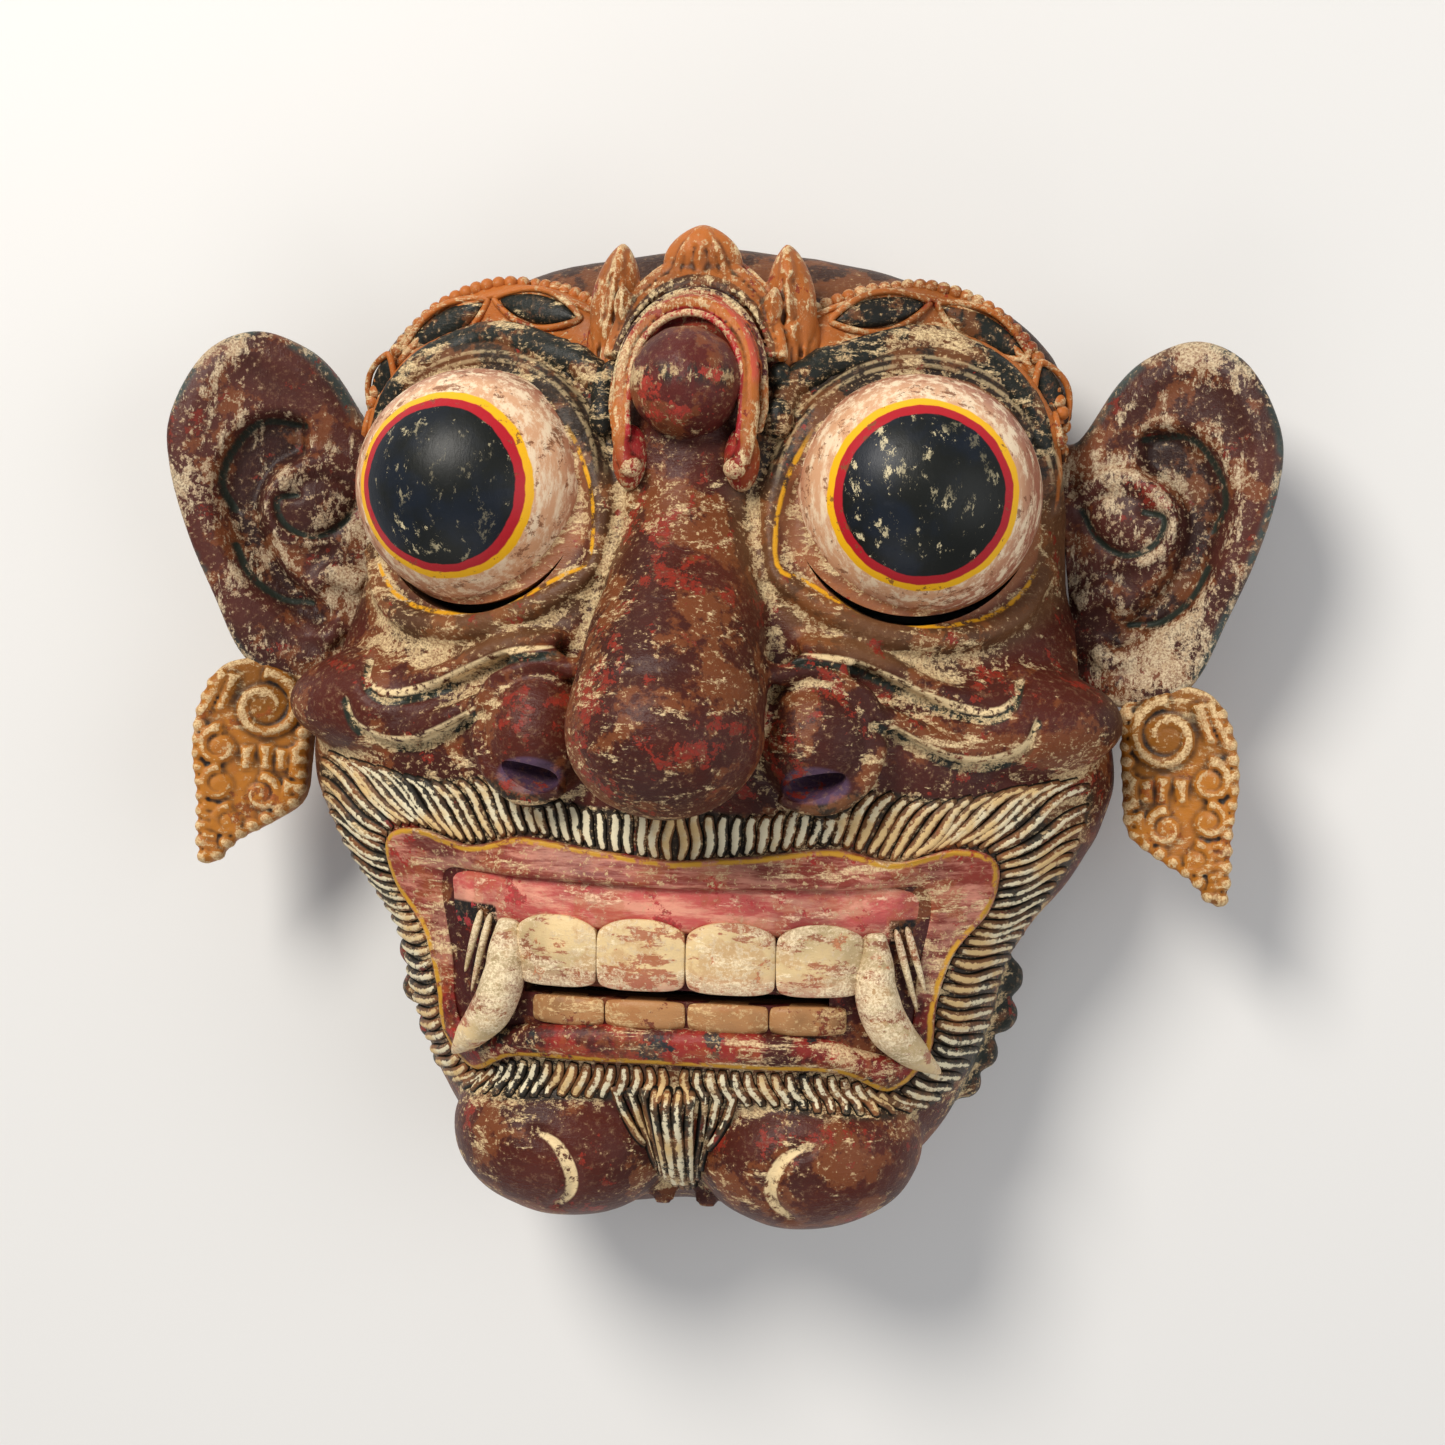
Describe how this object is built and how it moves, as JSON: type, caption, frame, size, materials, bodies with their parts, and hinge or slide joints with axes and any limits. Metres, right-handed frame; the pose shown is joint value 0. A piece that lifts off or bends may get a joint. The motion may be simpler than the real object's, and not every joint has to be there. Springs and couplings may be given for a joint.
{
  "type": "rakshasa mask",
  "caption": "Carved and painted wooden demon mask, hollow behind, with a crown, bulging eyes, tusks and two fixed ears with earrings; it lies face up on its back rim.",
  "frame": {"origin": "middle of the bounding box at the back rim's plane, z = 0", "axes": "+X to the viewer's right, +Y up the face, +Z out of the face; the mask lies face up on its rim"},
  "size_m": [0.2876, 0.253, 0.1249],
  "materials": {
    "face": "carved wood with worn satin paint in maroon, orange, cream and black",
    "ear": "carved wood with worn satin maroon paint, and ochre earrings"
  },
  "bodies": {
    "root": {"mask_face": "face", "left_ear": "ear", "right_ear": "ear"}
  },
  "joints": []
}
